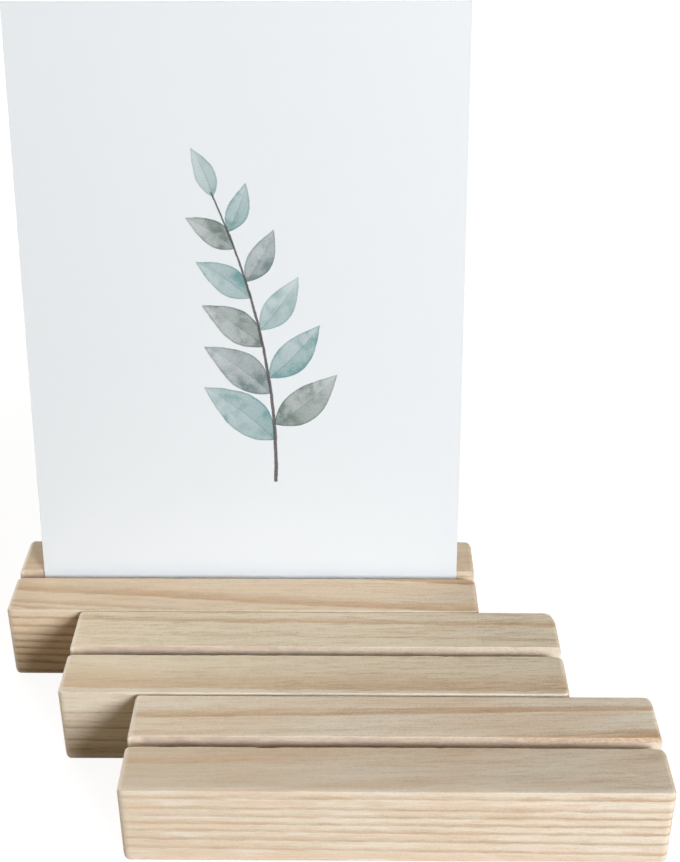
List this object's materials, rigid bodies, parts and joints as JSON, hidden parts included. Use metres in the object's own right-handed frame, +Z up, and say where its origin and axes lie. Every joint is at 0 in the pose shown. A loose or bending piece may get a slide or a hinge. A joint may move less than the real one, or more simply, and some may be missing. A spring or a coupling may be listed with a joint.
{
  "type": "place card holder",
  "caption": "Slotted timber blocks standing in a staggered row on the table; each slot holds a card upright, leaning back a little.",
  "frame": {"origin": "on the table, under the middle of the whole set's bounding box", "axes": "+X along the slots, to the right as seen from the front; +Y to the rear; +Z up"},
  "size_m": [0.1522, 0.103, 0.1567],
  "materials": {
    "timber": "sanded, no finish",
    "card_stock": "smooth, matt, printed on the front"
  },
  "bodies": {
    "rear_block": {"rear_block": "timber"},
    "middle_block": {"middle_block": "timber"},
    "front_block": {"front_block": "timber"},
    "card": {"card": "card_stock"}
  },
  "joints": [
    {"name": "card_lift", "type": "slide", "parent": "rear_block", "child": "card", "axis": [0, 0.1822, 0.9833], "range_m": [0, 0.04]},
    {"name": "middle_block_slide", "type": "slide", "parent": "rear_block", "child": "middle_block", "axis": [1, 0, 0], "range_m": [-0.0182, 0.0398]},
    {"name": "front_block_slide", "type": "slide", "parent": "rear_block", "child": "front_block", "axis": [1, 0, 0], "range_m": [-0.0362, 0.0218]}
  ]
}
